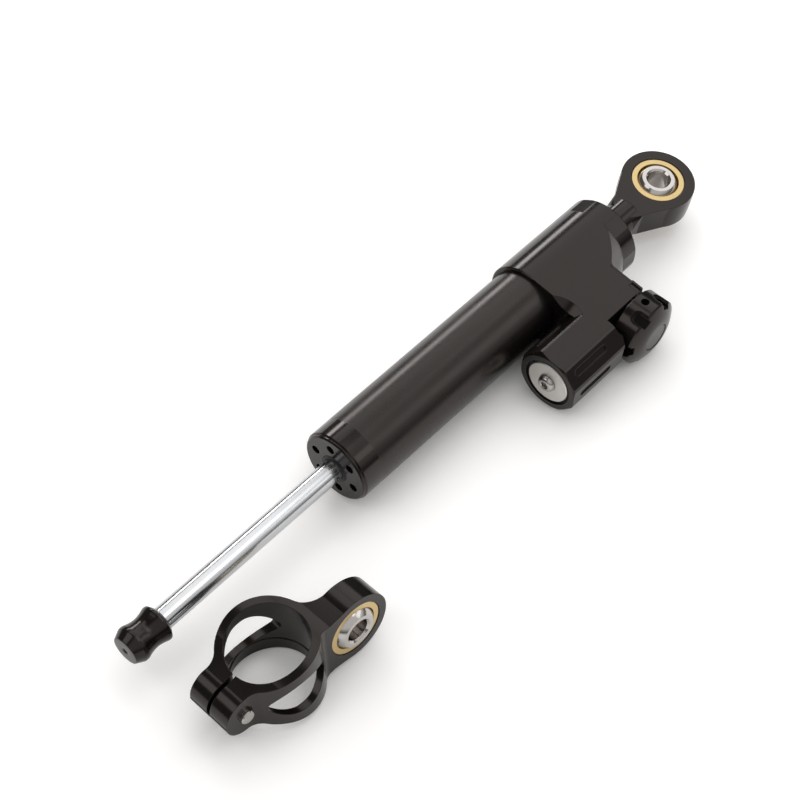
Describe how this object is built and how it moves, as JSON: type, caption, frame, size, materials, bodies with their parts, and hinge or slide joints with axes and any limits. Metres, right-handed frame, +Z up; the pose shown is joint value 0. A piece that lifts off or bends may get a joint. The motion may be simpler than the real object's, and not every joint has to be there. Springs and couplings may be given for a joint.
{
  "type": "motorcycle steering damper",
  "caption": "Linear hydraulic steering damper with a chromed through-rod, a ball-jointed eye, a side reservoir with a damping knob and a loose split tube clamp.",
  "frame": {"origin": "centre of the ball in the eye on the rod, at rest", "axes": "+X along the damper's axis towards the eye, +Z up from the floor that the damper lies on, side chamber and knob on the -Y side"},
  "size_m": [0.2827, 0.0671, 0.0304],
  "materials": {
    "black_anodised": "satin black anodised aluminium",
    "hard_chrome": "ground and polished hard chrome",
    "polished_steel": "polished bearing steel",
    "stainless_steel": "bright stainless steel",
    "spring_steel": "oiled spring steel",
    "black_oxide_steel": "black oxide steel",
    "brass": "turned brass",
    "bearing_bronze": "sintered bronze",
    "satin_aluminium": "satin natural aluminium",
    "black_rubber": "nitrile rubber",
    "ptfe": "bronze filled plastic"
  },
  "bodies": {
    "damper": {"outer_tube": "black_anodised", "inner_tube": "satin_aluminium", "front_cap": "black_anodised", "front_bush": "bearing_bronze", "front_rod_seal": "black_rubber", "front_wiper": "black_rubber", "front_cap_oring": "black_rubber", "head": "black_anodised", "rear_guide": "satin_aluminium", "rear_bush": "bearing_bronze", "rear_rod_seal": "black_rubber", "rear_wiper": "black_rubber", "rear_guide_oring": "black_rubber", "tube_oring": "black_rubber", "reservoir_plug": "satin_aluminium", "reservoir_plug_oring": "black_rubber", "reservoir_circlip": "black_oxide_steel", "bleed_screw": "stainless_steel", "bleed_seal": "black_rubber", "reservoir_spring": "spring_steel", "valve_gland": "brass", "detent_ball": "polished_steel", "detent_spring": "spring_steel"},
    "float": {"floating_piston": "satin_aluminium", "floating_piston_oring": "black_rubber"},
    "piston_seal": {"piston_ring": "ptfe"},
    "rod": {"rod": "hard_chrome", "piston": "satin_aluminium", "piston_circlips": "spring_steel", "end_spool": "black_anodised", "eye": "black_anodised", "eye_race": "brass"},
    "eye_ball": {"eye_ball": "polished_steel"},
    "knob": {"adjuster_knob": "black_anodised", "knob_cap": "black_anodised", "knob_grub_screw": "black_oxide_steel", "adjuster_spindle": "stainless_steel", "spindle_oring": "black_rubber"},
    "needle": {"valve_needle": "stainless_steel"},
    "clamp": {"clamp_ring": "black_anodised", "clamp_race": "brass", "clamp_screw": "stainless_steel"},
    "clamp_ball": {"clamp_ball": "polished_steel"}
  },
  "joints": [
    {"name": "rod_slide", "type": "slide", "parent": "damper", "child": "piston_seal", "axis": [1, 0, 0], "range_m": [0, 0.075]},
    {"name": "rod_spin", "type": "hinge", "parent": "piston_seal", "child": "rod", "pos_m": [0, 0, 0], "axis": [1, 0, 0], "continuous": true},
    {"name": "eye_ball_tilt", "type": "hinge", "parent": "rod", "child": "eye_ball", "pos_m": [0, 0, 0], "axis": [0, 0.989, 0.1478], "range_deg": [-12, 12]},
    {"name": "knob_turn", "type": "hinge", "parent": "damper", "child": "knob", "pos_m": [-0.0568, -0.03594, -0.00207], "axis": [0, 0.9983, 0.0576], "range_deg": [0, 540]},
    {"name": "needle_feed", "type": "slide", "parent": "damper", "child": "needle", "axis": [0, 0.9983, 0.0576], "range_m": [0, 0.0012]},
    {"name": "float_slide", "type": "slide", "parent": "damper", "child": "float", "axis": [1, 0, 0], "range_m": [-0.003, 0.003], "stiffness_N_per_m": 300, "deforming": ["reservoir_spring"]},
    {"name": "clamp_slide", "type": "slide", "parent": "damper", "child": "clamp", "axis": [0, -1, 0], "range_m": [0, 0.06]},
    {"name": "clamp_ball_tilt", "type": "hinge", "parent": "clamp", "child": "clamp_ball", "pos_m": [-0.21487, -0.0418, -0.00137], "axis": [-0.0053, 0.058, 0.9983], "range_deg": [-12, 12]}
  ],
  "couplings": [
    {"joint": "needle_feed", "follows": "knob_turn", "m_per_rad": 0.00012732}
  ]
}
